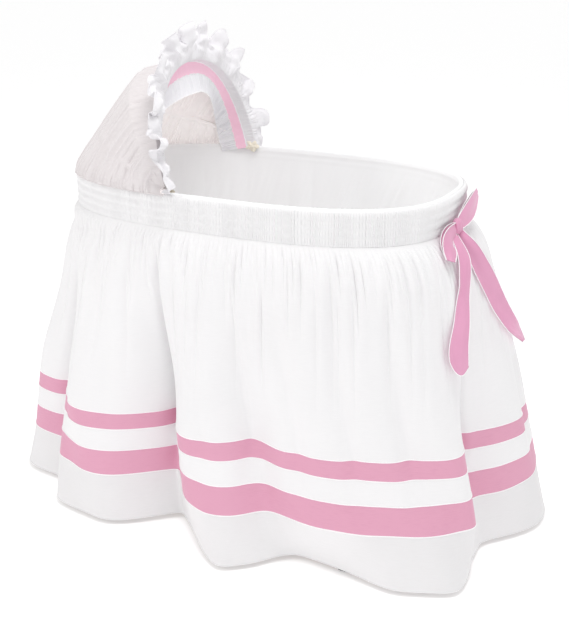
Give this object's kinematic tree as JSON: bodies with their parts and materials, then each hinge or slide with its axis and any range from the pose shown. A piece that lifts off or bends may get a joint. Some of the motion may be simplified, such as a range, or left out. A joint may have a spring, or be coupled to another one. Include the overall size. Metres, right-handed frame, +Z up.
{
  "type": "moses basket",
  "caption": "Oval woven baby basket on a folding stand, with a gathered floor-length striped skirt, a ribbon bow and a folding ruffled fabric hood.",
  "frame": {"origin": "on the floor, under the middle of the skirt's hem", "axes": "+X along the basket from the hood to the foot end, +Y away from the near side that carries the ribbon tails, +Z up"},
  "size_m": [1.238, 0.734, 1.075],
  "materials": {
    "white_cotton": "matte plain-weave cotton",
    "pink_cotton": "matte plain-weave cotton",
    "pale_pink_cotton": "matte plain-weave cotton",
    "pink_ribbon": "soft satin ribbon",
    "mattress_cover": "matte quilted cotton",
    "cream_fabric": "satin rosette",
    "webbing": "woven cotton webbing",
    "wicker": "natural woven willow",
    "beech": "satin varnished beech",
    "steel": "zinc-plated steel",
    "rubber": "matte rubber",
    "white_plastic": "smooth white plastic"
  },
  "bodies": {
    "outer_frame": {"outer_leg_head": "beech", "outer_leg_foot": "beech", "outer_top_rail": "beech", "outer_lower_rail": "beech", "outer_pad_head": "rubber", "outer_pad_foot": "rubber", "pivot_bolt_head": "steel", "pivot_bolt_foot": "steel", "pivot_nut_head": "steel", "pivot_nut_foot": "steel", "stop_strap_head": "webbing", "stop_strap_foot": "webbing"},
    "inner_frame": {"inner_leg_head": "beech", "inner_leg_foot": "beech", "inner_top_rail": "beech", "inner_lower_rail": "beech", "inner_pad_head": "rubber", "inner_pad_foot": "rubber"},
    "basket": {"basket_base": "wicker", "base_border": "wicker", "basket_wall": "wicker", "rim_border": "wicker", "side_liner": "white_cotton", "skirt_waistband": "white_cotton", "skirt_upper_panel": "white_cotton", "skirt_upper_stripe": "pink_cotton", "skirt_middle_strip": "white_cotton", "skirt_lower_stripe": "pink_cotton", "skirt_hem": "white_cotton", "ribbon_knot": "pink_ribbon", "ribbon_upper_loop": "pink_ribbon", "ribbon_lower_loop": "pink_ribbon", "ribbon_near_tail": "pink_ribbon", "ribbon_far_tail": "pink_ribbon", "hood_bracket_near": "white_plastic", "hood_bracket_far": "white_plastic", "hood_pin_near": "steel", "hood_pin_far": "steel", "rosette_near": "cream_fabric", "rosette_far": "cream_fabric"},
    "mattress": {"mattress": "mattress_cover"},
    "rear_bow": {"hood_rear_bow": "white_plastic", "canopy_rear_panel": "white_cotton"},
    "middle_bow": {"hood_middle_bow": "white_plastic", "canopy_middle_panel": "white_cotton"},
    "front_bow": {"hood_front_bow": "white_plastic", "canopy_front_panel": "white_cotton", "hood_ruffle": "white_cotton", "hood_pink_band": "pale_pink_cotton", "hood_shirred_band": "white_cotton"}
  },
  "joints": [
    {"name": "basket_lift", "type": "slide", "parent": "outer_frame", "child": "basket", "axis": [0, 0, 1], "range_m": [0, 0.28]},
    {"name": "stand_fold", "type": "hinge", "parent": "outer_frame", "child": "inner_frame", "pos_m": [0, 0, 0.28594], "axis": [-1, 0, 0], "range_deg": [0, 72], "deforming": ["stop_strap_head", "stop_strap_foot"]},
    {"name": "mattress_lift", "type": "slide", "parent": "basket", "child": "mattress", "axis": [0, 0, 1], "range_m": [0, 0.15]},
    {"name": "hood_fold", "type": "hinge", "parent": "basket", "child": "rear_bow", "pos_m": [-0.134, 0, 0.769], "axis": [0.1287, -0.9917, 0], "range_deg": [0, 12], "deforming": ["canopy_rear_panel"]},
    {"name": "middle_bow_fold", "type": "hinge", "parent": "rear_bow", "child": "middle_bow", "pos_m": [-0.134, 0, 0.769], "axis": [0.1287, -0.9917, 0], "range_deg": [0, 26.5], "deforming": ["canopy_middle_panel"]},
    {"name": "front_bow_fold", "type": "hinge", "parent": "middle_bow", "child": "front_bow", "pos_m": [-0.134, 0, 0.769], "axis": [0.1287, -0.9917, 0], "range_deg": [0, 15.3], "deforming": ["canopy_front_panel", "hood_pink_band", "hood_shirred_band"]}
  ],
  "couplings": [
    {"joint": "stand_fold", "follows": "basket_lift", "rad_per_m": 4.4875},
    {"joint": "middle_bow_fold", "follows": "hood_fold", "ratio": 2.2082},
    {"joint": "front_bow_fold", "follows": "hood_fold", "ratio": 1.2749}
  ]
}
